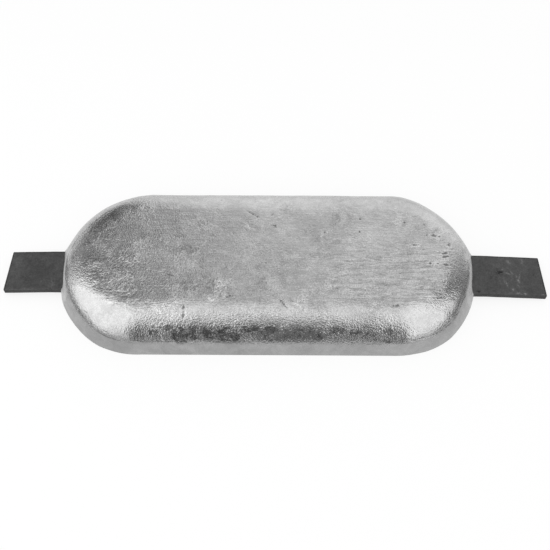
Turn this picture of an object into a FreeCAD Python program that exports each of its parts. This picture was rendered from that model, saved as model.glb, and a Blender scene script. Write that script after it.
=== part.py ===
import FreeCAD, Part
import math
import os
import Sketcher

# A weld-on hull anode: a zinc casting poured round a mild steel flat bar, whose two bare tabs
# are welded to the hull. Millimetres and degrees. The origin is the middle of the casting's
# flat back, +X runs along the strap and +Z points away from the hull.

drivingSizes = {
    # zinc casting
    "castingLength": 332.0,
    "castingWidth": 145.0,
    "castingHeight": 28.0,
    "wallDraft": 22.0,
    "shoulderRadius": 32.0,
    # steel strap
    "strapWidth": 35.0,
    "strapThickness": 5.0,
    "strapLift": 3.2,
    # the bar lies a little off the middle of the mould, and turned in it
    "strapOffset": -5.4,
    "strapSkew": -0.32,
    # how far each bare tab reaches past the casting; 425 mm of bar in all
    "leftTabReach": 40.5,
    "rightTabReach": 52.5,
    # the tabs are bent back, so that their tips come near the hull
    "leftTabDroop": 2.5,
    "rightTabDroop": 3.5,
    "bendRadius": 60.0,
    "bendClearance": 3.0,
    "tabCornerRadius": 2.4,
    "barEdgeRadius": 0.6,
    # zinc that ran up against the bar where it leaves the mould
    "collarRadius": 1.6,
}

derivedSizes = {
    "endRadius": "castingWidth / 2",
    "endCentre": "castingLength / 2 - castingWidth / 2",
    "bendStart": "castingLength / 2 + bendClearance",
    "outerBendRadius": "bendRadius + strapThickness",
    "leftTip": "castingLength / 2 + leftTabReach",
    "rightTip": "castingLength / 2 + rightTabReach",
}

doc = FreeCAD.newDocument("hull_anode")


def makeSheet():
    """one row a size: its name, its value and the alias that the features read"""
    sheet = doc.addObject("Spreadsheet::Sheet", "Sizes")
    for row, (name, value) in enumerate([*drivingSizes.items(), *derivedSizes.items()], start=1):
        sheet.set(f"A{row}", name)
        sheet.set(f"B{row}", f"={value}" if isinstance(value, str) else f"{value}")
        sheet.setAlias(f"B{row}", name)
    doc.recompute()
    return sheet


sheet = makeSheet()


def size(name):
    return float(sheet.get(name))


def point(x, y):
    return FreeCAD.Vector(x, y, 0)


def line(sketch, start, end):
    return sketch.addGeometry(Part.LineSegment(start, end), False)


def arc(sketch, centre, radius, startAngle, endAngle):
    circle = Part.Circle(centre, FreeCAD.Vector(0, 0, 1), radius)
    return sketch.addGeometry(Part.ArcOfCircle(circle, startAngle, endAngle), False)


def newSketch(body, name, role):
    plane = next(item for item in body.Origin.OriginFeatures if item.Role == role)
    sketch = body.newObject("Sketcher::SketchObject", name)
    sketch.AttachmentSupport = [(plane, "")]
    sketch.MapMode = "FlatFace"
    return sketch


def constrain(sketch, kind, *references):
    return sketch.addConstraint(Sketcher.Constraint(kind, *references))


def dimension(sketch, kind, *references, alias, sign=1):
    """a dimension that follows its cell of the sheet; sign turns an angle the other way"""
    value = sign * size(alias)
    expression = f"{sign} * Sizes.{alias}"
    if kind == "Angle":
        value = math.radians(value)
        expression += " * 1 deg"
    index = sketch.addConstraint(Sketcher.Constraint(kind, *references, value))
    sketch.setExpression(f"Constraints[{index}]", expression)


def edgeNumbers(shape, chosen):
    return [number for number, edge in enumerate(shape.Edges, start=1) if chosen(edge)]


def roundEdges(body, name, base, chosen, alias):
    """a fillet on the chosen edges of the feature before it"""
    fillet = body.newObject("PartDesign::Fillet", name)
    fillet.Base = (base, [f"Edge{number}" for number in edgeNumbers(base.Shape, chosen)])
    fillet.setExpression("Radius", f"Sizes.{alias}")
    doc.recompute()
    return fillet


# Vertex numbers of a sketch's line or arc, and the sketch's own origin and X axis
START, END, CENTRE = 1, 2, 3
ORIGIN = (-1, 1)
X_AXIS = -1


def drawCastingPlan(sketch):
    """the obround that the casting stands on: two straight sides and two half circles"""
    radius = size("endRadius")
    centre = size("endCentre")
    front = line(sketch, point(-centre, -radius), point(centre, -radius))
    right = arc(sketch, point(centre, 0), radius, -math.pi / 2, math.pi / 2)
    back = line(sketch, point(centre, radius), point(-centre, radius))
    left = arc(sketch, point(-centre, 0), radius, math.pi / 2, 3 * math.pi / 2)
    sides = [front, right, back, left]
    for side, following in zip(sides, sides[1:] + sides[:1]):
        constrain(sketch, "Tangent", side, END, following, START)
    constrain(sketch, "Horizontal", front)
    constrain(sketch, "PointOnObject", right, CENTRE, X_AXIS)
    constrain(sketch, "Symmetric", left, CENTRE, right, CENTRE, *ORIGIN)
    dimension(sketch, "Radius", right, alias="endRadius")
    dimension(sketch, "DistanceX", *ORIGIN, right, CENTRE, alias="endCentre")


def makeCastingBlank():
    """the poured shape before the bar takes its place: drafted wall, broad round shoulder"""
    body = doc.addObject("PartDesign::Body", "castingBlank")
    plan = newSketch(body, "castingPlan", "XY_Plane")
    drawCastingPlan(plan)

    pad = body.newObject("PartDesign::Pad", "castingPad")
    pad.Profile = plan
    pad.setExpression("Length", "Sizes.castingHeight")
    pad.setExpression("TaperAngle", "-1 * Sizes.wallDraft * 1 deg")
    doc.recompute()

    def isTopRim(edge):
        return edge.BoundBox.ZMin > size("castingHeight") - 0.01

    roundEdges(body, "castingShoulder", pad, isTopRim, "shoulderRadius")
    return body


def drawTab(sketch, side, underside, topside):
    """one bend and one bare tab; side is 1 at the right and -1 at the left"""
    name = "right" if side > 0 else "left"
    droop = math.radians(size(f"{name}TabDroop"))
    bend, tip = size("bendStart"), size(f"{name}Tip")
    inner, outer = size("bendRadius"), size("outerBendRadius")
    centre = point(side * bend, size("strapLift") - inner)
    outward = point(side * math.cos(droop), -math.sin(droop))
    across = point(side * math.sin(droop), math.cos(droop))
    reach = (tip - bend) / math.cos(droop)

    # lines run from left to right and arcs turn anticlockwise, so the two sides swap their ends
    bendEnd, tipEnd = (START, END) if side > 0 else (END, START)
    straight = math.pi / 2
    angles = sorted([straight, straight - side * droop])
    bends = []
    tabs = []
    for radius in (inner, outer):
        bends.append(arc(sketch, centre, radius, *angles))
        ends = [centre + radius * across, centre + radius * across + reach * outward]
        tabs.append(line(sketch, *ends[::side]))
    face = line(sketch, centre + inner * across + reach * outward,
                centre + outer * across + reach * outward)

    for flat, turn, tab in zip((underside, topside), bends, tabs):
        constrain(sketch, "Tangent", flat, tipEnd, turn, tipEnd)
        constrain(sketch, "Tangent", turn, bendEnd, tab, bendEnd)
        constrain(sketch, "Perpendicular", tab, face)
    constrain(sketch, "Coincident", bends[0], CENTRE, bends[1], CENTRE)
    constrain(sketch, "Coincident", tabs[0], tipEnd, face, START)
    constrain(sketch, "Coincident", tabs[1], tipEnd, face, END)
    dimension(sketch, "Radius", bends[0], alias="bendRadius")
    dimension(sketch, "Radius", bends[1], alias="outerBendRadius")
    dimension(sketch, "Angle", tabs[0], alias=f"{name}TabDroop", sign=-side)
    for end, alias in (((underside, tipEnd), "bendStart"), ((tabs[0], tipEnd), f"{name}Tip")):
        span = (*ORIGIN, *end) if side > 0 else (*end, *ORIGIN)
        dimension(sketch, "DistanceX", *span, alias=alias)


def drawStrapSideView(sketch):
    """the bar seen from its edge: flat where it is cast in, with a bend and a tab at each end"""
    bend, lift = size("bendStart"), size("strapLift")
    upper = lift + size("strapThickness")
    underside = line(sketch, point(-bend, lift), point(bend, lift))
    topside = line(sketch, point(-bend, upper), point(bend, upper))
    constrain(sketch, "Horizontal", underside)
    for side in (-1, 1):
        drawTab(sketch, side, underside, topside)
    dimension(sketch, "DistanceY", *ORIGIN, underside, START, alias="strapLift")


def makeStrap():
    """the mild steel flat bar, laid slightly off the middle of the casting"""
    body = doc.addObject("PartDesign::Body", "strap")
    sideView = newSketch(body, "strapSideView", "XZ_Plane")
    drawStrapSideView(sideView)

    bar = body.newObject("PartDesign::Pad", "strapBar")
    bar.Profile = sideView
    bar.SideType = "Symmetric"
    bar.setExpression("Length", "Sizes.strapWidth")
    doc.recompute()

    thickness = size("strapThickness")
    halfWidth = size("strapWidth") / 2

    def isTabCorner(edge):
        onFlank = abs(abs(edge.CenterOfMass.y) - halfWidth) < 0.01
        upright = edge.BoundBox.ZLength > thickness / 2
        return onFlank and upright and abs(edge.Length - thickness) < 0.01

    def isLongEdge(edge):
        return abs(edge.CenterOfMass.x) < 0.01 and edge.Length > size("bendStart")

    corners = roundEdges(body, "tabCorners", bar, isTabCorner, "tabCornerRadius")
    roundEdges(body, "rolledEdges", corners, isLongEdge, "barEdgeRadius")

    body.Placement.Rotation = FreeCAD.Rotation(FreeCAD.Vector(0, 0, 1), size("strapSkew"))
    body.setExpression("Placement.Base.y", "Sizes.strapOffset")
    body.setExpression("Placement.Rotation.Angle", "Sizes.strapSkew * 1 deg")
    doc.recompute()
    return body


def makeCasting(blank, strap):
    """the zinc fills the mould round the bar and creeps up against it where it comes out"""
    poured = doc.addObject("Part::Fuse", "poured")
    poured.Base = blank
    poured.Tool = strap
    doc.recompute()

    def isWhereTheyMeet(edge):
        middle = Part.Vertex(edge.valueAt((edge.FirstParameter + edge.LastParameter) / 2))
        return all(middle.distToShape(piece.Shape)[0] < 0.001 for piece in (blank, strap))

    radius = size("collarRadius")
    collars = doc.addObject("Part::Fillet", "collars")
    collars.Base = poured
    collars.Edges = [(number, radius, radius) for number in edgeNumbers(poured.Shape, isWhereTheyMeet)]
    doc.recompute()

    casting = doc.addObject("Part::Cut", "casting")
    casting.Base = collars
    casting.Tool = strap
    return casting


blank = makeCastingBlank()
strap = makeStrap()
casting = makeCasting(blank, strap)
strap.Label = "steel_strap"
casting.Label = "zinc_casting"
doc.recompute()

for item in doc.Objects:
    if {"Invalid", "Error"} & set(item.State):
        raise RuntimeError(f"{item.Name} failed: {item.State}")

os.makedirs("parts", exist_ok=True)
for piece in (casting, strap):
    shape = piece.Shape
    if shape.isNull() or not shape.isValid() or len(shape.Solids) != 1:
        raise RuntimeError(f"{piece.Label} isn't one valid solid")
    shape.exportStep(f"parts/{piece.Label}.step")
    box = shape.optimalBoundingBox()
    print(f"{piece.Label}: {shape.Volume:.0f} mm3, x {box.XMin:.1f} to {box.XMax:.1f}, "
          f"y {box.YMin:.1f} to {box.YMax:.1f}, z {box.ZMin:.2f} to {box.ZMax:.2f}")
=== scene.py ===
import math

import bpy
import numpy as np
from mathutils import Euler, Matrix, Vector, geometry, noise


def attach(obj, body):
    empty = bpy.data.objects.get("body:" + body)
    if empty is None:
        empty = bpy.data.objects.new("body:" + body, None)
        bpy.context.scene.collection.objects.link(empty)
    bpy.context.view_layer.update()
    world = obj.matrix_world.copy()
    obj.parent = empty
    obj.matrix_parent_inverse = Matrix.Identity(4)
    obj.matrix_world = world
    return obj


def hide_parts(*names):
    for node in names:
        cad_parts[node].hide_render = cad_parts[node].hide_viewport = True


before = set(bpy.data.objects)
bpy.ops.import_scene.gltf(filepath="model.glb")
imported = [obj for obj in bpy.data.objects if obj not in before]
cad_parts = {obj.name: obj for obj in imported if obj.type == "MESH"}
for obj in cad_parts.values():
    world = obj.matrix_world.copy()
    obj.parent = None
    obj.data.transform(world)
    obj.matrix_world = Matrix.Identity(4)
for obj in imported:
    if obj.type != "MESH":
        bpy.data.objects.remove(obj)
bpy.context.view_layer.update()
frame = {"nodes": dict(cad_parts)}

mm = 0.001
bpy.context.scene.view_settings.view_transform = "Standard"
print("frame loaded:", ", ".join(frame["nodes"]))


def newMesh(name, points, faces):
    mesh = bpy.data.meshes.new(name)
    mesh.from_pydata([tuple(point) for point in points], [], faces)
    mesh.validate()
    piece = bpy.data.objects.new(name, mesh)
    bpy.context.scene.collection.objects.link(piece)
    for polygon in mesh.polygons:
        polygon.use_smooth = True
    return piece


def fitPiece(piece, node, slot, material, **attributes):
    for name, values in attributes.items():
        piece.data.attributes.new(name, "FLOAT", "POINT").data.foreach_set("value", values)
    piece.data.materials.append(material)
    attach(piece, "root")
    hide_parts(node)
    triangles = sum(len(polygon.vertices) - 2 for polygon in piece.data.polygons)
    print(piece.name, "has", triangles, "triangles")


def ramp(value, start, end):
    share = min(max((value - start) / (end - start), 0), 1)
    return share * share * (3 - 2 * share)


def bell(distance, reach):
    return math.exp(-(distance / reach) ** 2)


def lineAt(line, position):
    # the value of a line of (position, value) pairs
    return np.interp(position, [place[0] for place in line], [place[1] for place in line])


def insideMark(x, y, mark):
    # where a place lies in a turned mark: -1 to 1 along it and across it
    markX, markY, length, width, turn = mark[:5]
    dx, dy, a = x - markX, y - markY, math.radians(turn)
    return ((dx * math.cos(a) + dy * math.sin(a)) / (length / 2),
            (dy * math.cos(a) - dx * math.sin(a)) / (width / 2))


# the nodes that both finishes are made of

def newFinish(name):
    material = bpy.data.materials.new(name)
    material.use_nodes = True
    tree = material.node_tree
    place = tree.nodes.new("ShaderNodeTexCoord").outputs["Object"]
    return material, tree, tree.nodes["Principled BSDF"], place


def addNode(tree, kind, settings, sockets):
    made = tree.nodes.new("ShaderNode" + kind)
    for name, value in settings.items():
        setattr(made, name, value)
    for name, value in sockets.items():
        if isinstance(value, bpy.types.NodeSocket):
            tree.links.new(value, made.inputs[name])
        else:
            made.inputs[name].default_value = value
    return made


def clouds(tree, place, scale, detail=2.0, roughness=0.5, distortion=0.0):
    return addNode(tree, "TexNoise", {}, {"Vector": place, "Scale": scale, "Detail": detail,
                                          "Roughness": roughness, "Distortion": distortion}).outputs[0]


def creases(tree, place, scale, detail=2.0, roughness=0.5, distortion=0.0):
    # 0 along sharp lines and more between them
    middle = addNode(tree, "Math", {"operation": "SUBTRACT"},
                     {0: clouds(tree, place, scale, detail, roughness, distortion), 1: 0.5})
    return addNode(tree, "Math", {"operation": "ABSOLUTE"}, {0: middle.outputs[0]}).outputs[0]


def painted(tree, name):
    # a value that the mesh carries at each of its points
    return addNode(tree, "Attribute", {"attribute_name": name}, {}).outputs["Fac"]


def stretched(tree, place, x, y, z):
    return addNode(tree, "VectorMath", {"operation": "MULTIPLY"}, {0: place, 1: (x, y, z)}).outputs[0]


def remap(tree, value, low, high, toLow, toHigh):
    return addNode(tree, "MapRange", {"interpolation_type": "SMOOTHSTEP"},
                   {"Value": value, "From Min": low, "From Max": high,
                    "To Min": toLow, "To Max": toHigh}).outputs[0]


def times(tree, first, second):
    return addNode(tree, "Math", {"operation": "MULTIPLY"}, {0: first, 1: second}).outputs[0]


def plus(tree, first, second):
    return addNode(tree, "Math", {"operation": "ADD"}, {0: first, 1: second}).outputs[0]


def madeGrey(tree, value):
    return addNode(tree, "CombineColor", {}, {0: value, 1: value, 2: value}).outputs[0]


# the zinc as it leaves the mould; millimetres and degrees
zincCasting = {
    "length": 332.0,
    "width": 145.0,
    "height": 28.0,
    "wallDraft": 22.0,
    "shoulderRadius": 32.0,
    "rimRadius": 0.45,
    # the mesh: steps, and how far the finer ones go
    "rimRows": 6,
    "wallRows": 8,
    "columnStep": 1.12,
    "fineColumnStep": 0.62,        # beside the strap
    "fineColumns": 0.36,           # share of the end's radius, to each side
    "shoulderStep": 0.86,
    "fineShoulderStep": 0.42,      # where the shoulder meets the strap's top
    "fineShoulder": 2.8,
    "lapStep": 0.62,
    "lapRowsEnd": 57.0,            # the shoulder's slope there
    "topStep": 1.05,
    "backStep": 2.6,
    "markStep": (0.44, 0.40),      # along and across a mark on the top
    "markMargin": (1.0, 0.8),
    # the ends are a little fuller than half circles: direction seen from the end's middle, how much
    "leftFullness": ((-180, 0), (-160, 0), (-150, 0.4), (-142, 0.75), (-134, 0.65), (-124, 0.75),
                     (-112, 0.75), (-103, 0.8), (-94, 0.2), (-84, 0.2), (-76, 0.4), (-68, 0.8),
                     (-61, 0.2), (-50, 0), (-44, 0.15), (-38, 0.5), (-32, 0.85), (-26, 1.1),
                     (-20, 0.8), (-14, 0.7), (-8, 0.5), (0, 0)),
    "rightFullness": ((0, 0), (8, 0.35), (14, 0.5), (20, 1.1), (26, 1.35), (32, 1.45), (38, 1.45),
                      (44, 0.85), (50, 0.45), (56, 0.1), (62, 0), (68, 0.3), (78, 0.1), (94, 0.3),
                      (100, 0.8), (106, 0.75), (111, 0.6), (117, 0.25), (128, 0.15), (140, 0.35),
                      (146, 0.7), (152, 1.05), (158, 1.2), (164, 1.35), (170, 0.9), (176, 0.12), (180, 0)),
    # how far the zinc stands out over the strap, from the strap's front edge to its back edge
    "leftExit": ((-22.9, 0.2), (-18, -1.2), (-12, -2.1), (-5, -2.1), (4, -0.6), (12.1, 1.1), (17, 0.7)),
    "rightExit": ((-22.9, 0.2), (-19, -0.8), (-14, -1.2), (-5, -0.9), (4, -0.2), (12.1, 0.7), (17, 0.4)),
    "collar": (0.7, 2.6),          # zinc crept up beside the strap: how far out, how wide
    "wornFoot": 0.7,               # how far the foot of the wall stands back there
    "exitZone": (145, 12),         # where all that is looked for: past this x, this near the strap
    # the skin: wave lengths along x, y and z, and height
    "swell": (38, 30, 24, 0.15),
    "dimples": (13, 11, 9, 0.075),
    "crumple": (6.0, 5.2, 4.2, 0.080),
    "laps": (19, 3.3, 4.0, 0.040),
    "pebble": (2.6, 2.6, 2.4, 0.016),
    "sunk": 0.20,                  # the true surface is the highest that the skin reaches
    "backBand": 9.0,               # the back's skin fades in over this from its rim
    # a fine lap line round each end: direction seen from the end's middle, and height
    "leftLap": ((-149, 24.7), (-132, 24.6), (-116, 23.8), (-109, 22.1), (-102, 20.8), (-97, 19.4),
                (-92, 17.2), (-62, 17.1), (-50, 16.3), (-40, 15.6), (-26, 13.2), (-16, 12.2), (-4, 11.6)),
    "rightLap": ((3, 12.4), (10, 13.0), (17, 13.9), (31, 13.7), (40, 14.1), (49, 15.2), (55, 17.0),
                 (70, 18.0)),
    "lapHeights": (9, 26),         # all of it lies between these
    "lapWidth": 0.7,
    "lapFade": 12,                 # degrees at each end of it
    "lapDepth": 0.06,
    "lapSoil": 0.5,
    "frostReach": (12.0, 6.5),     # matte zinc round the strap: none from here, full from there
    # the finish; the pairs are shares of the tone, from the darkest patches to the lightest
    "tone": 0.57,
    "broadPatches": (0.92, 1.06),
    "mottle": (0.90, 1.08),
    "dullPatches": (-0.26, 0.10),
    "speckle": (-0.26, 0.22),
    "lapLines": (-0.30, -0.02),
    "creaseLines": (-0.16, 0.05),
    "stainTone": 0.38,
    "brightTone": 1.65,
    "satin": (0.12, 0.21),         # roughness of the metal, between patches
    "stainMatte": 0.12,            # and what a stain or the matte zinc adds
    "frostMatte": 0.32,
    "frostMetal": 0.40,
    "grainDepth": 0.00040,         # metres
    "creaseDepth": 0.00070,
    "foldDepth": 0.00085,
}

# dents, pits, scratches, oxide stains and a darker patch: x, y, length, width, turn, depth, soil (bright
# where negative)
castMarks = [
    (136.4, 12.8, 2.4, 2.1, 0, 0.13, 0.75), (135.9, 0.9, 4.6, 1.5, 18, 0.26, 1.8),
    (135.2, -2.2, 4.0, 1.5, 12, 0.26, 1.8), (138.2, -1.6, 1.8, 1.7, 0, 0.16, 0.8),
    (135.6, -9.4, 4.6, 1.7, -12, 0.28, 1.8), (136.6, 6.6, 1.0, 8.0, 4, 0.10, 0.5),
    (129.4, -8.7, 2, 1.7, 0, 0.16, 1.02), (123.6, -8.2, 1.8, 1.8, 20, 0.16, 1.02),
    (129.7, 16.9, 3.8, 3.2, -10, 0.21, 1.0), (133.8, 16.1, 2, 2.5, 60, 0.16, 0.7),
    (124.2, 17.2, 1.4, 1.4, 0, 0.16, 0.8), (141, 9.5, 4.4, 2.8, 70, 0.13, 0.59),
    (114.6, 8.2, 5.5, 1.3, 4, 0.13, 1.02), (73, 32.4, 1.6, 1.5, 40, 0.22, 1.1),
    (71.8, 20.1, 1.4, 1.6, 0, 0.23, 1.53), (107.9, 29.3, 2.2, 1.6, 0, 0.16, 0.68),
    (123.4, 27.4, 2.6, 1.6, -25, 0.16, 0.68), (59.2, 51.8, 1.8, 1.5, 0, 0.20, 0.8),
    (98.5, 51.5, 6.6, 1.8, -14, 0.16, 0.5), (96.2, 48.6, 2.6, 1.6, -50, 0.14, 0.4),
    (-37.7, 52.4, 3.7, 2.4, 10, 0.14, 0.45), (-12.8, 37.0, 12.1, 1.1, -34, 0.22, 0.8),
    (-8.6, 34.2, 2.0, 1.9, -40, 0.24, 0.9), (4.2, 25.4, 5.4, 4.0, 5, 0.12, 0.65),
    (3.6, 36.0, 3.5, 2.2, 60, 0.12, 0.5), (44.6, 19.6, 1.7, 1.4, 30, 0.16, 0.7),
    (-1.0, -8.9, 3.2, 2.0, -30, 0.16, 0.6), (12.6, -43.8, 13.6, 1.6, -52, 0.24, 0.75),
    (94.6, -44.2, 5.7, 2.4, 12, 0.24, 0.8), (-60.9, -46.2, 2.6, 2.2, 80, 0.10, 1.1),
    (-60.6, -52.2, 2.8, 2.2, 80, 0.10, 1.0), (-60.7, -49.4, 1.8, 8.0, 0, 0.06, 0.48),
    # the first mark here makes the foot of the front wall darker about its middle
    (-12.0, -71.0, 84.0, 5.0, 0, 0, 0.20), (-133.5, -15.7, 15.0, 12.0, 10, 0.06, 0.30),
    (-149.0, -2.0, 5.0, 5.0, 0, 0.08, 0.45), (-147.0, -12.6, 7.0, 9.0, 20, 0.05, 0.40),
    (-98.0, -26.0, 40.0, 14.0, -8, 0.04, 0.30), (-28.0, -37.2, 5.5, 3.5, 8, 0.14, 0.5),
    (-41.5, -40.0, 4.6, 1.3, -35, -0.10, -1.0), (-38.9, -40.4, 2.6, 1.2, 40, 0, -0.8),
    (-127.6, -25.4, 5.9, 1.4, -20, -0.12, -0.7), (52.0, -14.8, 22.0, 1.6, 3, 0.10, 0.40),
    (48.5, -29.0, 13.2, 1.3, -26, 0.14, 0.6), (-82.0, -17.0, 17.6, 1.4, -9, 0.13, 0.55),
    (-70.0, -20.4, 13.2, 1.4, -16, 0.13, 0.6), (-78.5, -14.4, 5.5, 1.4, -5, -0.10, -0.5),
    # oxide low on the front shoulder
    (-42, -62.5, 72, 10, 0, 0, 0.44), (20, -62.5, 96, 8, 0, 0, 0.36), (75, -63.0, 60, 8, 0, 0, 0.34),
    (-71.6, -59.9, 8.1, 3.9, 0, 0.05, 0.92), (-63.1, -63.6, 12.2, 7.5, 0, 0.08, 1.25),
    (-54, -62.6, 9.0, 7.5, 0, 0.08, 1.25), (-43.3, -62.4, 8.4, 5.4, 0, 0.08, 1.1),
    (-82.6, -61.7, 6.8, 6.9, 0, 0.05, 0.8), (-34.7, -63.1, 8.1, 4.5, 0, 0.05, 0.75),
    (-28.8, -60.3, 5.4, 3.6, 0, 0.05, 0.69), (-30.4, -65.7, 9.5, 2.7, 0, 0.05, 0.69),
    (-23.8, -65.1, 9.5, 3.6, 0, 0.06, 0.86), (-13.5, -60.3, 8.1, 4.2, 0, 0.06, 0.98),
    (-9.2, -59.7, 8.1, 3.9, 0, 0.06, 1), (3.9, -60.2, 10.1, 4.8, 0, 0.06, 1),
    (1, -65, 8.8, 3.6, 0, 0.05, 0.8), (11.2, -65.5, 5.4, 2.7, 0, 0.04, 0.46),
    (22.8, -62.3, 8.1, 5.1, 0, 0.05, 0.4), (30.1, -62.3, 8.1, 5.1, 0, 0.06, 0.5),
    (38.1, -63.9, 8.1, 4.2, 0, 0.05, 0.63), (51.1, -60.8, 13.5, 5.1, 0, 0.06, 0.98),
    (64.2, -62.2, 9.5, 5.1, 0, 0.05, 0.8), (76, -63, 10.8, 4.5, 0, 0.04, 0.57),
    (88.1, -61.2, 8.1, 4.5, 0, 0.05, 0.75), (88.6, -66.2, 8.1, 2.7, 0, 0.04, 0.63),
    (79.8, -65.8, 6.8, 3, 0, 0.04, 0.52), (-91.5, -64.8, 6.8, 3.9, 0, 0.04, 0.46),
]


def wallRows():
    # inset from the base outline, height and slope of the normal, from the back's rim to the top
    cast = zincCasting
    draft = math.radians(cast["wallDraft"])
    rim, shoulder = cast["rimRadius"], cast["shoulderRadius"]
    shoulderFoot = cast["height"] - shoulder * (1 - math.sin(draft))
    rimInset = rim * (1 + math.sin(draft)) / math.cos(draft)
    rows = [(rimInset - rim * math.cos(angle), rim + rim * math.sin(angle), angle)
            for angle in np.linspace(-math.pi / 2, draft, cast["rimRows"])]
    for z in np.linspace(rim + rim * math.sin(draft), shoulderFoot, cast["wallRows"])[1:-1]:
        rows.append((z * math.tan(draft), z, draft))
    fineEnd = draft + cast["fineShoulder"] / shoulder
    lapEnd = math.radians(cast["lapRowsEnd"])
    arcs = [(draft, fineEnd, cast["fineShoulderStep"]), (fineEnd, lapEnd, cast["lapStep"]),
            (lapEnd, math.pi / 2, cast["shoulderStep"])]
    angles = [np.linspace(low, high, round(shoulder * (high - low) / step) + 1)[:-1]
              for low, high, step in arcs]
    for angle in [*np.concatenate(angles), math.pi / 2]:
        inset = shoulderFoot * math.tan(draft) + shoulder * (math.cos(draft) - math.cos(angle))
        rows.append((inset, shoulderFoot + shoulder * (math.sin(angle) - math.sin(draft)), angle))
    return rows


def outlineColumns():
    # middle and outward direction of each column round the obround
    radius = zincCasting["width"] / 2
    centre = zincCasting["length"] / 2 - radius
    step = zincCasting["columnStep"]
    straight = np.linspace(-centre, centre, round(2 * centre / step))[:-1]
    angles = [-math.pi / 2]
    while angles[-1] < math.pi / 2:
        beside = abs(radius * math.sin(angles[-1])) < zincCasting["fineColumns"] * radius
        angles.append(angles[-1] + (zincCasting["fineColumnStep"] if beside else step) / radius)
    angles = np.array(angles)
    angles = (angles - angles[0]) * math.pi / (angles[-1] - angles[0]) - math.pi / 2
    columns = [(x, 0, -1) for x in straight]
    columns += [(centre, math.cos(a), math.sin(a)) for a in angles[:-1]]
    columns += [(-x, 0, 1) for x in straight]
    columns += [(-centre, -math.cos(a), -math.sin(a)) for a in angles[:-1]]
    return np.array(columns)


def fillFlat(ring, step, crowded=()):
    # even triangles inside a ring of points, smaller ones round crowded places
    low, high = ring.min(0), ring.max(0)
    half = (high[1] - low[1]) / 2
    centre = high[0] - half
    outline = [Vector(point[:2]) for point in ring]
    points = []
    rowStep = 0.866 * step        # the height of an even triangle
    for row, y in enumerate(np.arange(low[1], high[1], rowStep)):
        for x in np.arange(low[0] + (row % 2) * step / 2, high[0], step):
            points.append((x, y))
    alongStep, acrossStep = zincCasting["markStep"]
    alongMargin, acrossMargin = zincCasting["markMargin"]
    for placeX, placeY, length, width, turn in crowded:
        a = math.radians(turn)
        for u in np.arange(-length / 2 - alongMargin, length / 2 + alongMargin, alongStep):
            for v in np.arange(-width / 2 - acrossMargin, width / 2 + acrossMargin, acrossStep):
                points.append((placeX + u * math.cos(a) - v * math.sin(a),
                               placeY + u * math.sin(a) + v * math.cos(a)))
    reach = half - 0.6 * step     # no inner point close to the ring
    inside = [Vector(point) for point in points
              if math.hypot(max(abs(point[0]) - centre, 0), point[1]) < reach]
    loop = [(i, (i + 1) % len(outline)) for i in range(len(outline))]
    result = geometry.delaunay_2d_cdt(outline + inside, loop, [], 1, 1e-5)
    return result[0], [tuple(face) for face in result[2]]


def wave(x, y, z, kind, shift=0.0):
    # one layer of the skin, about -1 to 1
    lengthX, lengthY, lengthZ, _ = zincCasting[kind]
    return 1.8 * noise.noise(Vector((x / lengthX + shift, y / lengthY - shift, z / lengthZ + 3.7)))


def crumpledAt(x, y):
    # 0 where the skin is smooth and 1 where it is crumpled, as it is at the left end
    patch = noise.noise(Vector((x / 24, y / 17, 5.1))) + 0.6 * noise.noise(Vector((x / 9, y / 7, 8.3)))
    place = 0.40 + 0.36 * ramp(x, -60, -115) + 0.18 * ramp(y, -20, -36)        # more at the left and in front
    place -= 0.30 * ramp(y, 20, 46) * ramp(x, -110, -80)
    return min(max(place + 0.95 * patch - 0.06, 0.0), 1)


def lappedAt(x, y):
    # cold laps: long shallow folds in the front of the right half
    return ramp(x, 20, 70) * ramp(y, 14, -6) * ramp(y, -46, -36)


def skinHeight(x, y, z, crumpled, lapped):
    # how the cast surface stands off the true one, in millimetres
    look = zincCasting
    dimples = wave(x, y, z, "dimples")
    height = look["swell"][3] * wave(x, y, z, "swell") + look["dimples"][3] * dimples * (0.5 + 0.7 * crumpled)
    height += look["crumple"][3] * (abs(wave(x, y, z, "crumple", 0.9 * dimples)) - 0.4) * crumpled
    height += look["laps"][3] * wave(x, y, z, "laps", 0.7 * dimples) * (0.10 + lapped)
    return height + look["pebble"][3] * wave(x, y, z, "pebble") * (0.3 + 0.7 * crumpled)


def markAt(x, y):
    # how deep the marks are at a place, and how dark
    depth = soil = 0.0
    for mark in castMarks:
        markX, markY, length, _, _, deep, dark = mark
        if abs(x - markX) + abs(y - markY) > length + 4:        # too far off to show
            continue
        along, across = insideMark(x, y, mark)
        share = math.exp(-(along ** 4 + across ** 2))
        depth += deep * share
        if abs(dark * share) > abs(soil):
            soil = dark * share
    return depth, soil


def strapGap(x, y, z):
    # how far a point lies from the bar's section, beside it and above it
    middle = x * math.sin(math.radians(steelStrap["skew"]))
    flank = abs(y - steelStrap["offset"] - middle) - steelStrap["width"] / 2
    return flank, z - steelStrap["lift"] - steelStrap["thickness"]


def zincAtStrap(x, y, flank, above):
    # how far the zinc stands out round the strap
    line = zincCasting["leftExit" if x < 0 else "rightExit"]
    out, wide = zincCasting["collar"]
    over = lineAt(line, y) * (ramp(above, 6.5, 0) * ramp(flank, 9, 1))
    crept = out * max(1 - flank / wide, 0) ** 2 if flank > 0 else out * bell(flank, 1.2)
    worn = zincCasting["wornFoot"] * bell(flank - 1, 6) * ramp(above, -3, -7)
    return over + crept * ramp(above, 1.2, 0) * ramp(above, -4, -1) - worn


def nearExit(x, flank):
    pastX, within = zincCasting["exitZone"]
    return abs(x) > pastX and flank < within


def pastCentre(x):
    # how far a place lies beyond the middle of its end's half circle, and 0 between the two middles
    centre = (zincCasting["length"] - zincCasting["width"]) / 2
    return math.copysign(max(abs(x) - centre, 0), x)


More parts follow.
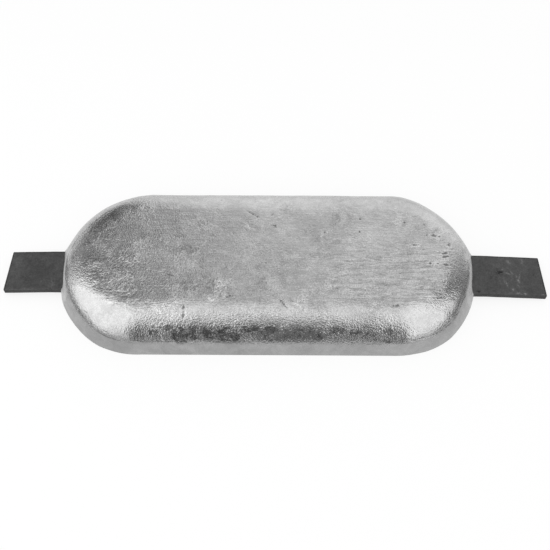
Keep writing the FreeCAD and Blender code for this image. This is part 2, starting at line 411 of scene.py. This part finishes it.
def lapAt(x, y, z):
    # 1 on the lap line that runs round each end
    lap = zincCasting["leftLap" if x < 0 else "rightLap"]
    azimuth = math.degrees(math.atan2(pastCentre(x), -y))
    first, last, fading = lap[0][0], lap[-1][0], zincCasting["lapFade"]
    lowest, highest = zincCasting["lapHeights"]
    if not (first <= azimuth <= last and lowest < z < highest):
        return 0.0
    fade = ramp(azimuth, first, first + fading) * ramp(azimuth, last, last - fading)
    return fade * bell(z - lineAt(lap, azimuth), zincCasting["lapWidth"])


def fullness(x, y, nz):
    # how far the ends stand out past half circles, less towards the top
    past = pastCentre(x)
    if past == 0:
        return 0.0
    ends = zincCasting["leftFullness" if x < 0 else "rightFullness"]
    return lineAt(ends, math.degrees(math.atan2(past, -y))) * ramp(nz, 0.98, 0.6)


def backSkin(x, y):
    # the open side of the mould: slow flow rings, a sunken middle
    slow = noise.noise(Vector((x / 55, y / 40, 11)))
    rings = math.sin(0.42 * math.hypot(x * 0.55, y * 1.25) + 5 * slow)
    sunk = bell(math.hypot(x / 1.9, y * 1.3), 46)
    return 0.30 * slow + 0.06 * rings + 0.45 * sunk


def backSpot(x, y):
    # a place on the back, and its soil, grain, frost, crease and fold
    radius = zincCasting["width"] / 2
    past = pastCentre(x)
    away = max(math.hypot(past, y), 1e-6)
    inner = min(max((radius - away) / zincCasting["backBand"], 0), 1)        # 0 at the rim
    flank, above = strapGap(x, y, 0)
    out = fullness(x, y, 0) + (zincAtStrap(x, y, flank, above) if nearExit(x, flank) else 0.0)
    out *= 1 - inner
    height = inner * max(0.05, 0.3 + backSkin(x, y))
    soil = 0.4 * ramp(noise.noise(Vector((x / 26, y / 18, 2.2))), 0.0, 0.4)
    crease = 0.9 * ramp(noise.noise(Vector((x / 34, y / 26, 7.2))), -0.3, 0.3)
    return (x + out * past / away, y + out * y / away, height), (soil, 0.9, 0.3, crease, 0.0)


def skinSpot(point, normal):
    # a place on the wall, the shoulder or the top, and its soil, grain, frost, crease and fold
    (x, y, z), (nx, ny, nz) = point, normal
    crumpled, lapped = crumpledAt(x, y), lappedAt(x, y)
    stand = skinHeight(x, y, z, crumpled, lapped) - zincCasting["sunk"]
    stand *= min(z / 4, 1) * (0.35 + 0.65 * ramp(z, 6, 14))        # calmer low on the wall
    depth, soil = markAt(x, y) if nz > 0.35 else (0.0, 0.0)        # no marks on the steep wall
    stand = min(stand, 0) - depth
    lap = lapAt(x, y, z)
    stand -= zincCasting["lapDepth"] * lap
    soil = max(soil, zincCasting["lapSoil"] * lap) if lap > 0 else soil

    flank, above = strapGap(x, y, z)
    crept = frost = 0.0
    if nearExit(x, flank):
        crept = zincAtStrap(x, y, flank, above)
        frost = ramp(math.hypot(max(flank, 0), max(above, 0)), *zincCasting["frostReach"])
    out = stand + (crept + fullness(x, y, nz)) / max(math.hypot(nx, ny), 1e-6)

    # the lower shoulder is the grainiest and the wall below it the smoothest
    lowShoulder = 0.20 * ramp(nz, 0.995, 0.93) * ramp(y, -36, -46)
    grainy = (0.42 + 0.40 * max(crumpled, 0.5 * lapped) + lowShoulder) * (0.22 + 0.78 * ramp(z, 9, 14))
    smooth = (0.58 if x < 0 else 0.42) * ramp(abs(x), 78, 108) * ramp(y, -20, -40)
    onTop = ramp(nz, 0.93, 0.99)
    lowFront = ramp(nz, 0.90, 0.80) * ramp(z, 9, 13) * ramp(y, -40, -55)
    lowFront = lowFront * ramp(x, 60, 20) * ramp(x, -110, -80)
    crease = (0.12 + 0.88 * crumpled ** 2) * (1 - 0.8 * lapped) * onTop + 0.7 * lowFront
    fold = (0.30 + 0.70 * lapped) * onTop
    return (x + out * nx, y + out * ny, z + stand * nz), (soil, grainy * (1 - smooth), frost, crease, fold)


def makeCasting():
    rows, columns = wallRows(), outlineColumns()
    radius = zincCasting["width"] / 2
    count = len(columns)
    points, normals, faces = [], [], []
    for inset, z, angle in rows:
        for middle, dx, dy in columns:
            points.append((middle + (radius - inset) * dx, (radius - inset) * dy, z))
            normals.append((math.cos(angle) * dx, math.cos(angle) * dy, math.sin(angle)))
    for row in range(len(rows) - 1):
        for column in range(count):
            following = (column + 1) % count
            low, high = row * count, (row + 1) * count
            faces.append((low + column, low + following, high + following, high + column))

    # the back and the flat top close the wall's first and last ring
    topMarks = [mark[:5] for mark in castMarks if mark[1] > -42]        # the others are on the shoulder
    lastRing = (len(rows) - 1) * count
    flats = ((0, 0, -1, zincCasting["backStep"], ()),
             (lastRing, zincCasting["height"], 1, zincCasting["topStep"], topMarks))
    for first, z, up, step, crowded in flats:
        filled, triangles = fillFlat(np.array(points[first:first + count]), step, crowded)
        number = {index: first + index for index in range(count)}
        for index in range(count, len(filled)):
            number[index] = len(points)
            points.append((filled[index].x, filled[index].y, z))
            normals.append((0, 0, up))
        for triangle in triangles:
            corners = [number[corner] for corner in triangle]
            faces.append(tuple(corners if up > 0 else corners[::-1]))

    spots = [skinSpot(point, normal) if point[2] >= 0.01 else backSpot(*point[:2])
             for point, normal in zip(points, normals)]
    soil, grain, frost, crease, fold = zip(*[looks for _, looks in spots])
    piece = newMesh("zincCasting", np.array([place for place, _ in spots]) * mm, faces)
    fitPiece(piece, "zinc_casting", "zinc", zincFinish(), soil=soil, grain=grain, frost=frost,
             crease=crease, fold=fold)


def zincFinish():
    look = zincCasting
    material, tree, shader, place = newFinish("castZinc")
    grain, soil, frost = painted(tree, "grain"), painted(tree, "soil"), painted(tree, "frost")
    crease, fold = painted(tree, "crease"), painted(tree, "fold")
    rubbed = remap(tree, soil, -1, 0, look["brightTone"], 1.0)
    tree.links.new(remap(tree, frost, 0, 1, 1.0, look["frostMetal"]), shader.inputs["Metallic"])
    # ragged edges for the stains, and swirls where the skin crumpled
    ragged = plus(tree, remap(tree, clouds(tree, place, 520, 3, 0.65), 0.3, 0.7, -0.4, 0.5),
                  remap(tree, clouds(tree, place, 210, 2, 0.5, 1.0), 0.35, 0.65, -0.4, 0.4))
    swirls = creases(tree, stretched(tree, place, 62, 105, 90), 1.0, 2.5, 0.55, 1.6)
    ragged = plus(tree, ragged, times(tree, crease, remap(tree, swirls, 0.0, 0.06, -1.0, 0.35)))
    soil = remap(tree, plus(tree, soil, times(tree, soil, ragged)), 0.15, 0.85, 0.0, 1.0)
    # slow tone changes, a finer grey mottle and dark oxide
    broad = [look["tone"] * share for share in look["broadPatches"]]
    tone = remap(tree, clouds(tree, place, 26, 3, 0.6), 0.3, 0.7, *broad)
    tone = times(tree, tone, remap(tree, clouds(tree, place, 120, 4, 0.65, 0.8), 0.3, 0.7, *look["mottle"]))
    dull = remap(tree, clouds(tree, place, 62, 3, 0.55, 1.2), 0.42, 0.58, *look["dullPatches"])
    tone = times(tree, tone, plus(tree, 1.0, times(tree, dull, crease)))
    speckle = remap(tree, clouds(tree, place, 1000, 2, 0.6), 0.3, 0.7, *look["speckle"])
    tone = times(tree, tone, plus(tree, times(tree, speckle, grain), 1.0))
    tone = times(tree, times(tree, tone, rubbed), remap(tree, soil, 0, 1, 1.0, look["stainTone"]))
    satin = remap(tree, clouds(tree, place, 70, 3, 0.6), 0.35, 0.65, *look["satin"])
    satin = plus(tree, satin, remap(tree, soil, 0, 1, 0.0, look["stainMatte"]))
    satin = plus(tree, satin, remap(tree, frost, 0, 1, 0.0, look["frostMatte"]))
    tree.links.new(satin, shader.inputs["Roughness"])
    # the grain that the mould's coating leaves, creases where the skin crumpled, and cold laps
    fineGrains = times(tree, clouds(tree, place, 1500, 0.6), 0.4)
    grains = plus(tree, clouds(tree, place, 820, 1.0, 0.5, 0.2), fineGrains)
    height = times(tree, times(tree, grains, grain), look["grainDepth"])
    crumpled = creases(tree, stretched(tree, place, 150, 175, 160), 1.0, 2, 0.5, 0.9)
    height = plus(tree, height, times(tree, times(tree, crumpled, crease), look["creaseDepth"]))
    laps = creases(tree, stretched(tree, place, 48, 440, 340), 1.0, 1.8, 0.5, 0.5)
    height = plus(tree, height, times(tree, times(tree, laps, fold), look["foldDepth"]))
    lapTone = remap(tree, laps, 0.0, 0.05, *look["lapLines"])
    tone = times(tree, tone, plus(tree, 1.0, times(tree, fold, lapTone)))
    creaseTone = remap(tree, crumpled, 0.0, 0.06, *look["creaseLines"])
    tone = times(tree, tone, plus(tree, 1.0, times(tree, crease, creaseTone)))
    tree.links.new(madeGrey(tree, tone), shader.inputs["Base Color"])
    bump = addNode(tree, "Bump", {}, {"Height": height, "Distance": 1.0})
    tree.links.new(bump.outputs[0], shader.inputs["Normal"])
    return material


# the flat bar, in millimetres and degrees; its tabs are bent back towards the hull
steelStrap = {
    "width": 35.0,
    "thickness": 5.0,
    "lift": 3.2,
    "offset": -5.4,
    "skew": -0.32,
    "bendStart": 169.0,
    "bendRadius": 60.0,
    "leftTip": 206.5,
    "rightTip": 218.5,
    "leftDroop": 2.5,
    "rightDroop": 3.5,
    "edgeRadius": 0.6,
    "cornerRadius": 0.7,
    "shearedEdge": 0.35,
    "shearSlant": (-0.8, 0.18),    # the tips are sheared at a slant: top edge, bottom edge
    "slantReach": 3.0,
    "tipGap": 0.03,                # how far the finer tips stay inside the solid's
    # the mesh: step on the tabs, rings round a tip, points on an edge's round and up a side
    "meshStep": 0.6,
    "tipRings": 9,
    "edgePoints": 5,
    "sidePoints": 5,
    "buried": (155, 24),           # inside the zinc it is coarse: up to this x, rings
    # rolled steel is never quite flat: height of the broad and the fine waves
    "waves": (0.05, 0.025),
    "waveLift": -0.045,            # keeps them under the true surface
    "tone": 0.061,
    "scuffTone": 0.78,
    # how dark the painted shade on the bar's sides, edges and tips makes them
    "edgeShadeTone": 0.50,
    "frontEdgeHighlight": 0.30,            # painted highlight along the front edge on top
    "satin": (0.40, 0.56),
    "scaleMetal": 0.35,
    "scaleDepth": 0.00012,         # metres
}

# rubbed and stained places, and one broad darker patch: along the bar, across it, length, width, turn,
# lighter or darker
strapScuffs = [
    # the first darkens the whole right tab about its middle
    (186.0, -2.0, 40.0, 44.0, 0, -0.12), (193.2, 12.6, 4.0, 4.6, 10, 0.8), (203.5, 13.0, 2.4, 5.0, -8, 0.9),
    (197.2, -3.1, 1.8, 7.0, 8, 1.5), (199.0, -0.5, 1.4, 5.0, -14, 1.2), (196.5, -9.0, 1.6, 3.0, 20, 0.8),
    (190.1, 1.5, 4.0, 1.4, -20, 1.4), (186.1, 5.4, 2.6, 1.6, 30, 1.2), (187.1, -7.7, 1.6, 5.4, 15, 1.3),
    (193.5, 2.5, 1.4, 3.6, 30, 1.0), (191.5, -12.8, 3.0, 1.8, 40, 1.3), (192.0, 7.5, 5.0, 2.4, 30, 0.4),
    (182.6, 2.0, 3.6, 5.0, -35, -0.9), (185.0, 3.0, 2.2, 1.8, 0, -0.7), (175.5, -2.6, 2.2, 1.8, 0, -0.6),
    (163.8, -15.6, 2.8, 1.6, 0, -1.0), (211.3, 1.0, 2.6, 2.4, 0, -0.5), (181.0, 9.0, 9.0, 3.0, -20, 0.25),
    (214.5, -8.0, 3.0, 5.0, 15, 0.3), (195.5, -15.8, 3.4, 1.6, 20, 1.3), (200.2, -16.2, 4.0, 1.4, 0, 1.5),
    (215.5, -16.4, 3.4, 1.3, 0, 1.5), (-181.0, 11.0, 9.0, 3.2, 12, 0.25), (-191.0, -6.5, 8.0, 5.0, -20, -0.3),
    (-200.5, 6.5, 4.5, 7.0, 10, 0.25), (-168.0, -12.0, 5.0, 10.0, 0, 0.45), (-177.0, -10.0, 5.0, 3.0, 0, 0.3),
    (-204.0, -12.0, 3.0, 3.0, 30, 0.3),
]


def strapSection(halfWidth, halfThickness):
    # a rounded rectangle, anticlockwise, as across and up
    radius = steelStrap["edgeRadius"]
    flats = [(1, 1), (-1, 1), (-1, -1), (1, -1)]
    section = []
    for corner, (sx, sy) in enumerate(flats):
        start = corner * math.pi / 2
        for angle in np.linspace(start, start + math.pi / 2, steelStrap["edgePoints"]):
            section.append((sx * (halfWidth - radius) + radius * math.cos(angle),
                            sy * (halfThickness - radius) + radius * math.sin(angle)))
        nextX, nextY = flats[(corner + 1) % 4]
        nextStart = start + math.pi / 2
        begin = section[-1]
        end = (nextX * (halfWidth - radius) + radius * math.cos(nextStart),
               nextY * (halfThickness - radius) + radius * math.sin(nextStart))
        steps = round(2 * halfWidth / steelStrap["meshStep"]) if sy == nextY else steelStrap["sidePoints"]
        for share in np.linspace(0, 1, steps)[1:-1]:
            section.append((begin[0] + share * (end[0] - begin[0]), begin[1] + share * (end[1] - begin[1])))
    return np.array(section)


def strapPlace(along):
    # a point on the bar's middle plane and the way up there; along runs from tip to tip
    middle = steelStrap["lift"] + steelStrap["thickness"] / 2
    side = 1 if along > 0 else -1
    droop = math.radians(steelStrap["rightDroop" if side > 0 else "leftDroop"])
    radius = steelStrap["bendRadius"] + steelStrap["thickness"] / 2
    past = abs(along) - steelStrap["bendStart"]
    if past <= 0:
        return along, middle, 0, 1
    angle = min(past / radius, droop)
    straight = past - angle * radius
    x = steelStrap["bendStart"] + radius * math.sin(angle) + straight * math.cos(angle)
    z = middle - radius * (1 - math.cos(angle)) - straight * math.sin(angle)
    return side * x, z, side * math.sin(angle), math.cos(angle)


def tipAlong(side):
    # how far along the bar its tip lies
    tip = steelStrap["rightTip" if side > 0 else "leftTip"]
    droop = math.radians(steelStrap["rightDroop" if side > 0 else "leftDroop"])
    radius = steelStrap["bendRadius"] + steelStrap["thickness"] / 2
    return (steelStrap["bendStart"] + radius * droop + (tip - steelStrap["bendStart"]) / math.cos(droop)
            - steelStrap["bendRadius"] * math.tan(droop)) - steelStrap["tipGap"]


def scuffAt(along, across):
    scuff = 0.0
    for mark in strapScuffs:
        u, v = insideMark(along, across, mark)
        scuff += mark[5] * math.exp(-(u * u + v * v))
    return scuff


def ringsAlong():
    # where the bar's rings stand: close at the tips, a mesh step apart on the tabs, few inside the zinc
    corner, step = steelStrap["cornerRadius"], steelStrap["meshStep"]
    left, right = tipAlong(-1), tipAlong(1)
    buried, count = steelStrap["buried"]
    turns = np.linspace(0, math.pi / 2, steelStrap["tipRings"])
    rounded = [corner * (1 - math.sin(angle)) for angle in turns]
    along = [-(left - back) for back in rounded] + [right - back for back in rounded]
    along += list(np.arange(-(left - corner), -buried, step)[1:]) + list(np.linspace(-buried, buried, count))
    along += list(np.arange(buried, right - corner, step)[1:])
    return sorted(along)


def dentAt(x, y, z):
    broad, fine = steelStrap["waves"]
    dent = broad * noise.noise(Vector((x / 9, y / 7, z / 5)))
    return dent + (fine * noise.noise(Vector((x / 2.6, y / 2.6, z / 2.6))) + steelStrap["waveLift"])


def makeStrap():
    look = steelStrap
    corner, sheared = look["cornerRadius"], look["shearedEdge"]
    skew = math.radians(look["skew"])
    points, scuffsAndEdgeHighlight, paintedEdgeShade, faces, rings = [], [], [], [], []
    for position in ringsAlong():
        toTip = tipAlong(position) - abs(position)
        halfWidth, halfThickness = look["width"] / 2, look["thickness"] / 2
        if toTip < corner:
            halfWidth -= corner - math.sqrt(max(corner ** 2 - (corner - toTip) ** 2, 0))
        if toTip < sheared:
            pinch = sheared - math.sqrt(max(sheared ** 2 - (sheared - toTip) ** 2, 0))
            halfWidth -= pinch
            halfThickness -= pinch
        section = strapSection(halfWidth, halfThickness)
        x, z, nx, nz = strapPlace(position)
        rings.append(len(points))
        for across, up in section:
            slant = np.interp(up, (-halfThickness, halfThickness), look["shearSlant"][::-1])
            slant *= ramp(toTip, look["slantReach"], corner) * math.copysign(1, position)
            px, py, pz = x + up * nx + slant * nz, across, z + up * nz - slant * nx
            dent = dentAt(px, py, pz) * ramp(toTip, 0, corner)
            py += math.copysign(dent, across) * (abs(across) > halfWidth - 0.5)
            pz += math.copysign(dent, up) * (abs(up) > halfThickness - 0.5)
            points.append((px * math.cos(skew) - py * math.sin(skew),
                           px * math.sin(skew) + py * math.cos(skew) + look["offset"], pz))
            # a painted highlight along the front edge on top, and painted shade on the sides, along the edges
            # and on the tips
            rubbed = look["frontEdgeHighlight"] * bell(across + look["width"] / 2 - 0.8, 0.6)
            scuffsAndEdgeHighlight.append(scuffAt(position, across) + rubbed if up > 0 else 0.0)
            flank = bell(look["width"] / 2 - 0.4 - abs(across), 0.8)
            flank *= 1.0 if across > 0 or up < halfThickness - 0.4 else 0.25
            paintedEdgeShade.append(max(flank, bell(toTip - 0.5, 0.9)))
    size = len(section)
    for ring, following in zip(rings, rings[1:]):
        for index in range(size):
            beside = (index + 1) % size
            faces.append((ring + index, ring + beside, following + beside, following + index))
    for ring, turn in ((rings[0], -1), (rings[-1], 1)):        # the sheared tips
        middle = len(points)
        points.append(np.mean(points[ring:ring + size], axis=0))
        scuffsAndEdgeHighlight.append(0.0)
        paintedEdgeShade.append(paintedEdgeShade[ring])
        for index in range(size):
            faces.append((middle, ring + index, ring + (index + 1) % size)[::turn])
    piece = newMesh("steelStrap", np.array(points) * mm, faces)
    fitPiece(piece, "steel_strap", "strap_steel", steelFinish(), scuff=scuffsAndEdgeHighlight, edge=paintedEdgeShade)


def steelFinish():
    # grey mill scale, rubbed in places, with painted shade on its sides, edges and tips and a painted
    # highlight along the front edge on top
    look = steelStrap
    material, tree, shader, place = newFinish("millScale")
    shader.inputs["Metallic"].default_value = look["scaleMetal"]
    ragged = remap(tree, clouds(tree, place, 650, 3, 0.65), 0.40, 0.62, 0.0, 2.0)
    scuff = times(tree, painted(tree, "scuff"), ragged)
    fine = clouds(tree, place, 900, 2, 0.6)
    tone = remap(tree, clouds(tree, place, 45, 4, 0.6), 0.3, 0.7, look["tone"] * 0.86, look["tone"] * 1.14)
    tone = times(tree, tone, remap(tree, clouds(tree, place, 260, 3, 0.6), 0.3, 0.7, 0.86, 1.14))
    tone = times(tree, tone, remap(tree, fine, 0.3, 0.7, 0.84, 1.16))
    # the scuffs, together with the painted highlight along the front edge on top
    tone = times(tree, tone, plus(tree, times(tree, scuff, look["scuffTone"]), 1.0))
    # painted shade on the bar's sides, edges and tips
    tone = times(tree, tone, remap(tree, painted(tree, "edge"), 0, 1, 1.0, look["edgeShadeTone"]))
    tree.links.new(madeGrey(tree, tone), shader.inputs["Base Color"])
    satin = remap(tree, clouds(tree, place, 90, 3, 0.6), 0.3, 0.7, *look["satin"])
    tree.links.new(satin, shader.inputs["Roughness"])
    height = plus(tree, clouds(tree, place, 170, 3, 0.6), times(tree, fine, 0.35))
    bump = addNode(tree, "Bump", {}, {"Height": height, "Distance": look["scaleDepth"]})
    tree.links.new(bump.outputs[0], shader.inputs["Normal"])
    return material


# softboxes and cards: azimuth (0 in front and 90 at the right), elevation, distance, width, height, strength;
# a table card: left, right, front, back, height over the floor, strength
studio = {
    "leftSoftbox": (-68, 40, 0.95, 1.06, 1.12, 0.38),
    "rightSoftbox": (54, 41, 0.95, 0.90, 0.95, 0.23),
    "topSoftbox": (0, 88, 0.95, 0.80, 0.40, 0.12),
    "frontCard": (2, 19, 0.90, 0.80, 0.82, 0.21),
    "frontHighCard": (0, 51, 0.90, 0.60, 0.18, 0.42),
    "frontHigherCard": (0, 62, 0.90, 0.50, 0.17, 0.78),
    "frontTopCard": (0, 74, 0.90, 0.50, 0.21, 0.92),
    "leftLowCard": (-75, 0, 0.90, 1.30, 0.06, 0.16),
    "darkLeftCard": (-142, 20, 0.90, 0.34, 0.96, 0.14),
    "besideLeftCard": (-118, 24, 0.90, 0.40, 1.00, 0.34),
    "backLeftCard": (-156, 22, 0.90, 0.15, 1.00, 0.60),
    "highLeftCard": (-135, 55, 0.79, 0.34, 0.26, 0.37),
    "darkRightCard": (98, 24, 0.90, 0.30, 1.00, 0.24),
    "besideRightCard": (114, 24, 0.90, 0.20, 1.00, 0.54),
    "rightLowCard": (75, 5, 0.90, 0.90, 0.16, 0.30),
    "ceilingLowCard": (164, 49, 0.80, 0.94, 0.11, 0.90),
    "ceilingCard": (164, 56, 0.80, 0.94, 0.09, 0.76),
    "ceilingMiddleCard": (164, 67, 0.80, 0.94, 0.23, 0.64),
    "ceilingEdgeCard": (180, 81, 0.80, 1.00, 0.12, 0.90),
    "tables": {
        "tableCard": (-0.27, 0.27, -0.19, 0.0, 0.0006, 0.64),
        "tableBackCard": (-0.27, 0.27, 0.0, 0.27, 0.0006, 0.84),
        "tableEdgeCard": (-1.2, 1.2, -1.2, 0.12, 0.0003, 0.16),
    },
    "lampWatts": 4,                # for each square metre of a softbox at strength 1
    "floor": (-4, 4, -4, 4, -0.0001),        # just under the zinc's flat back
    "paper": 0.86,
    "paperGlow": 0.80,
}


def direction(azimuth, elevation):
    a, e = math.radians(azimuth), math.radians(elevation)
    return Vector((math.sin(a) * math.cos(e), -math.cos(a) * math.cos(e), math.sin(e)))


def softbox(name, azimuth, elevation, distance, width, height, strength):
    lamp = bpy.data.lights.new(name, "AREA")
    lamp.shape = "RECTANGLE"
    lamp.size, lamp.size_y = width, height
    lamp.energy = studio["lampWatts"] * strength * width * height
    place = bpy.data.objects.new(name, lamp)
    place.location = direction(azimuth, elevation) * distance
    place.rotation_euler = place.location.to_track_quat("Z", "Y").to_euler()
    bpy.context.scene.collection.objects.link(place)


def greyCard(name, corners, grey):
    # only the metal sees it, as it would see a card held over it
    piece = newMesh(name, corners, [(0, 1, 2, 3)])
    material = bpy.data.materials.new(name)
    material.use_nodes = True
    tree = material.node_tree
    glow = addNode(tree, "Emission", {}, {"Color": (grey, grey, grey, 1)})
    tree.links.new(glow.outputs[0], tree.nodes["Material Output"].inputs["Surface"])
    tree.nodes.remove(tree.nodes["Principled BSDF"])
    piece.data.materials.append(material)
    piece.visible_camera = piece.visible_diffuse = piece.visible_shadow = False


def facingCard(name, azimuth, elevation, distance, width, height, grey):
    centre = direction(azimuth, elevation) * distance
    turn = centre.to_track_quat("Z", "Y").to_matrix()
    greyCard(name, [centre + turn @ Vector((sx * width / 2, sy * height / 2, 0))
                    for sx, sy in ((-1, -1), (1, -1), (1, 1), (-1, 1))], grey)


def flatCorners(left, right, front, back, z):
    return [(left, front, z), (right, front, z), (right, back, z), (left, back, z)]


def seenRays(tree):
    # 1 for what the camera sees, directly, mirrored or through glass
    path = tree.nodes.new("ShaderNodeLightPath")
    total = path.outputs["Is Camera Ray"]
    for name in ("Is Glossy Ray", "Is Transmission Ray"):
        total = addNode(tree, "Math", {"operation": "MAXIMUM"}, {0: total, 1: path.outputs[name]}).outputs[0]
    return total


def makeFloor():
    floor = newMesh("floor", flatCorners(*studio["floor"]), [(0, 1, 2, 3)])
    material = bpy.data.materials.new("whitePaper")
    material.use_nodes = True
    tree = material.node_tree
    paper = tree.nodes["Principled BSDF"]
    paper.inputs["Base Color"].default_value = (studio["paper"],) * 3 + (1,)
    paper.inputs["Roughness"].default_value = 0.9
    paper.inputs["Specular IOR Level"].default_value = 0.1
    glow = addNode(tree, "Emission", {}, {"Strength": 1.0})
    share = times(tree, seenRays(tree), studio["paperGlow"])
    mix = addNode(tree, "MixShader", {}, {0: share, 1: paper.outputs[0], 2: glow.outputs[0]})
    tree.links.new(mix.outputs[0], tree.nodes["Material Output"].inputs["Surface"])
    floor.data.materials.append(material)


def makeStudio():
    makeFloor()
    for name, values in studio.items():
        if name.endswith("Softbox"):
            softbox(name, *values)
        elif name.endswith("Card"):
            facingCard(name, *values)
    for name, (*sides, grey) in studio["tables"].items():
        greyCard(name, flatCorners(*sides), grey)
    world = bpy.data.worlds.new("studio")
    world.use_nodes = True
    world.node_tree.nodes["Background"].inputs["Color"].default_value = (1, 1, 1, 1)
    bpy.context.scene.world = world


# metres and degrees; the camera stands where the photograph's did
photoCamera = {
    "location": (0.006345, -0.238124, 0.409348),
    "elevation": 60.15,
    "turn": 0.1311,
    "roll": 0.1755,
    "lens": 38.41,
    "sensor": 36,
    "nearest": 0.02,
}


def makeCamera():
    data = bpy.data.cameras.new("camera")
    data.lens = photoCamera["lens"]
    data.sensor_width = photoCamera["sensor"]
    data.clip_start = photoCamera["nearest"]
    place = bpy.data.objects.new("camera", data)
    tilt = math.radians(90 - photoCamera["elevation"])
    aim = Euler((tilt, 0, math.radians(photoCamera["turn"]))).to_matrix()
    roll = Matrix.Rotation(math.radians(photoCamera["roll"]), 3, "Z")
    place.matrix_world = Matrix.LocRotScale(Vector(photoCamera["location"]), aim @ roll, None)
    bpy.context.scene.collection.objects.link(place)
    bpy.context.scene.camera = place


makeCamera()
makeStudio()
print("camera, floor and lamps are up")
makeCasting()
print("zinc is cast")
makeStrap()
print("strap is in")
